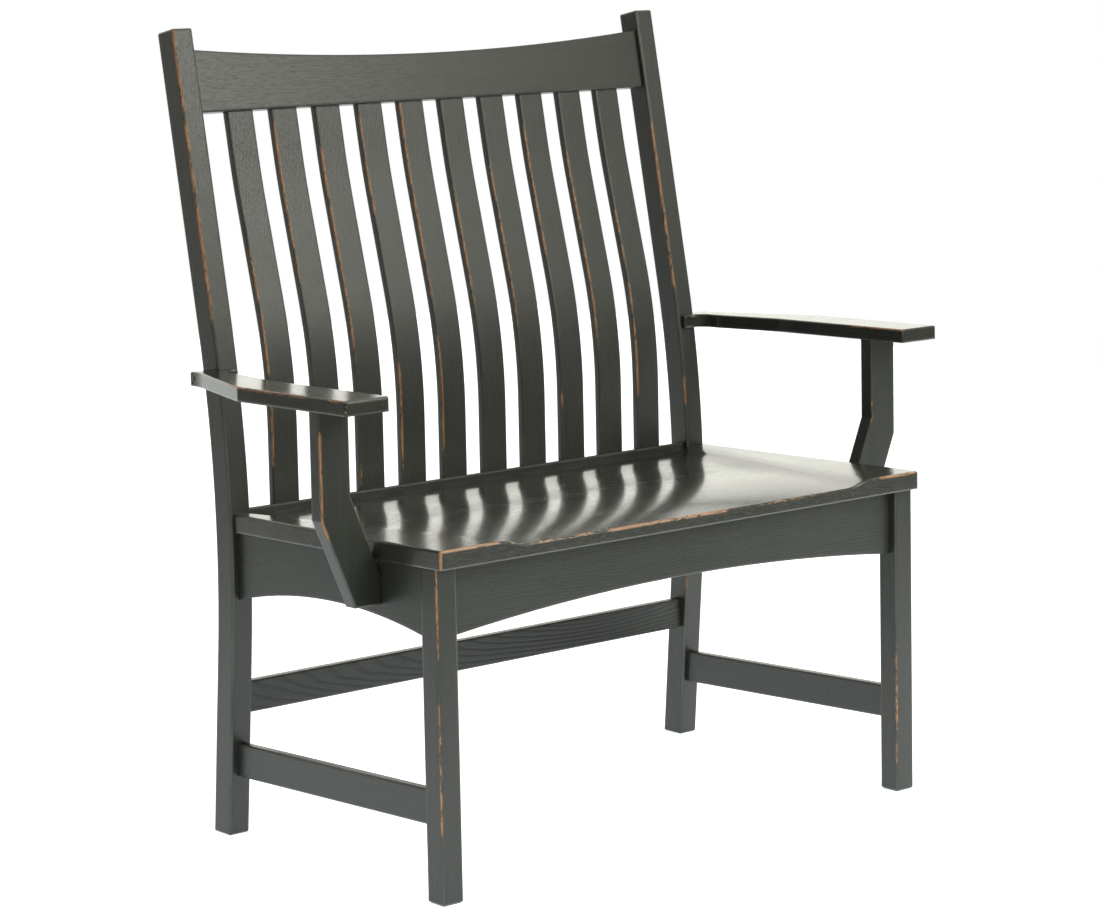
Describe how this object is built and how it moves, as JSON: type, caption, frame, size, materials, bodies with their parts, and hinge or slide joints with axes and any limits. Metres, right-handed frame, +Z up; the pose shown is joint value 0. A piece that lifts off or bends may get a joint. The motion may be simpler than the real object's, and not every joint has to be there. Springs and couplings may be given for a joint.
{
  "type": "mission settle",
  "caption": "Painted oak mission settle: slatted raked back under a hollowed crest rail, scooped plank seat, bracketed arms and arched aprons.",
  "frame": {"origin": "on the floor, midway across and midway between the front edge of the seat and the rear of the post heads", "axes": "+X across to the right as seen from the front, +Y to the back, +Z up"},
  "size_m": [1.04, 0.5928, 1.0966],
  "materials": {
    "painted_frame": "charcoal paint over oak, satin, rubbed through at the edges",
    "painted_slats": "charcoal paint over oak, satin, rubbed through at the edges",
    "painted_seat": "charcoal paint over oak, polished by use to a semi-gloss",
    "painted_arms": "charcoal paint over oak, polished by use to a semi-gloss",
    "bare_oak": "bare sawn oak",
    "screw_steel": "zinc-plated steel"
  },
  "bodies": {
    "root": {"front_leg_left": "painted_frame", "front_leg_right": "painted_frame", "back_post_left": "painted_frame", "back_post_right": "painted_frame", "crest_rail": "painted_frame", "lower_back_rail": "painted_frame", "front_apron": "painted_frame", "side_apron_left": "painted_frame", "side_apron_right": "painted_frame", "side_stretcher_left": "painted_frame", "side_stretcher_right": "painted_frame", "back_stretcher": "painted_frame", "slat_01": "painted_slats", "slat_02": "painted_slats", "slat_03": "painted_slats", "slat_04": "painted_slats", "slat_05": "painted_slats", "slat_06": "painted_slats", "slat_07": "painted_slats", "slat_08": "painted_slats", "slat_09": "painted_slats", "slat_10": "painted_slats", "seat": "painted_seat", "arm_left": "painted_arms", "arm_right": "painted_arms", "arm_support_left": "painted_arms", "arm_support_right": "painted_arms", "arm_plugs": "painted_arms", "corner_brace_front_left": "bare_oak", "corner_brace_front_right": "bare_oak", "corner_brace_back_left": "bare_oak", "corner_brace_back_right": "bare_oak", "seat_screws": "screw_steel", "brace_screws": "screw_steel", "support_screws": "screw_steel", "arm_screws": "screw_steel"}
  },
  "joints": []
}
